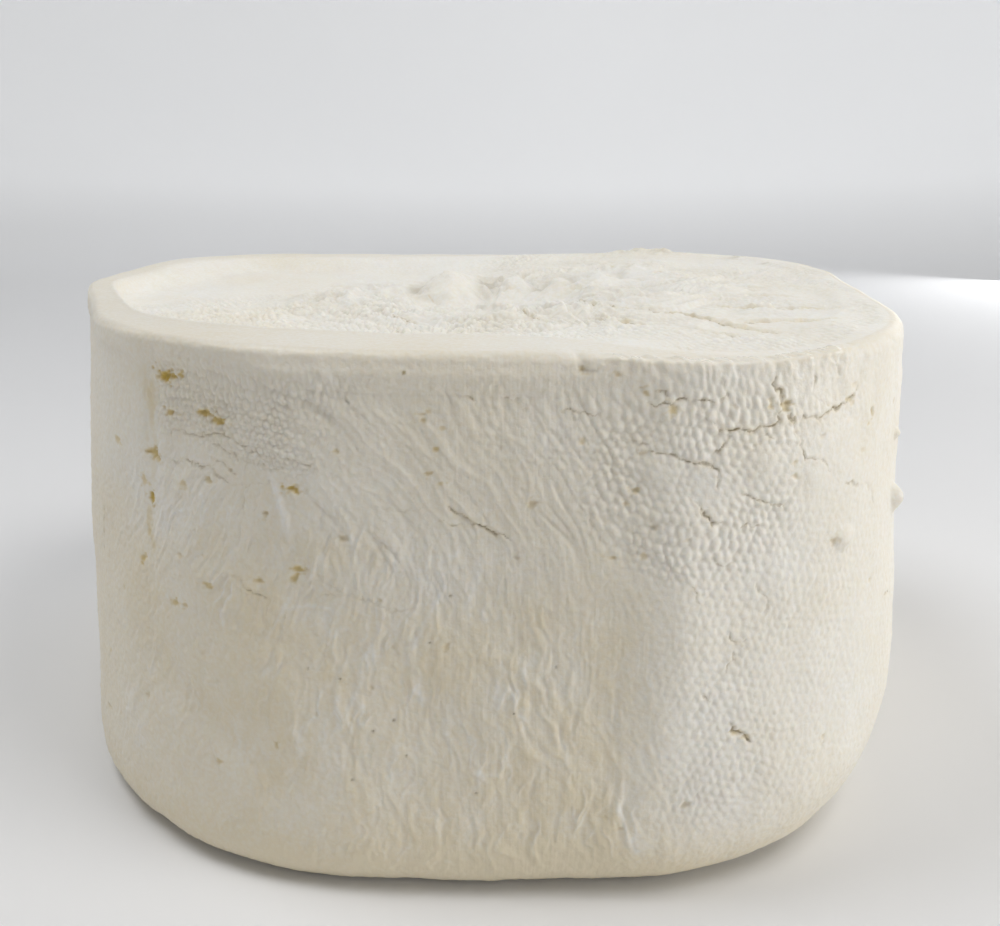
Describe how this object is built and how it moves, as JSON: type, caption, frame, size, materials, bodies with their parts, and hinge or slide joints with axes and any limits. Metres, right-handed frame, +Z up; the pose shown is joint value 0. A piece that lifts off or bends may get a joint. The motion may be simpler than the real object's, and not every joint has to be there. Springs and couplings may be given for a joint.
{
  "type": "cheese block",
  "caption": "Large pressed block of fresh white cheese with a sunken, cloth-printed top, a smooth raised lip and a tie scar, standing on a flat base.",
  "frame": {"origin": "on the base plane, under the middle of the block's box", "axes": "+X across the block to its right-hand end as seen from the front, +Y from the front wall to the back wall, +Z up from the base"},
  "size_m": [0.264, 0.2184, 0.1429],
  "materials": {
    "cheese": "satin, faintly moist"
  },
  "bodies": {
    "root": {"cheese_block": "cheese"}
  },
  "joints": []
}
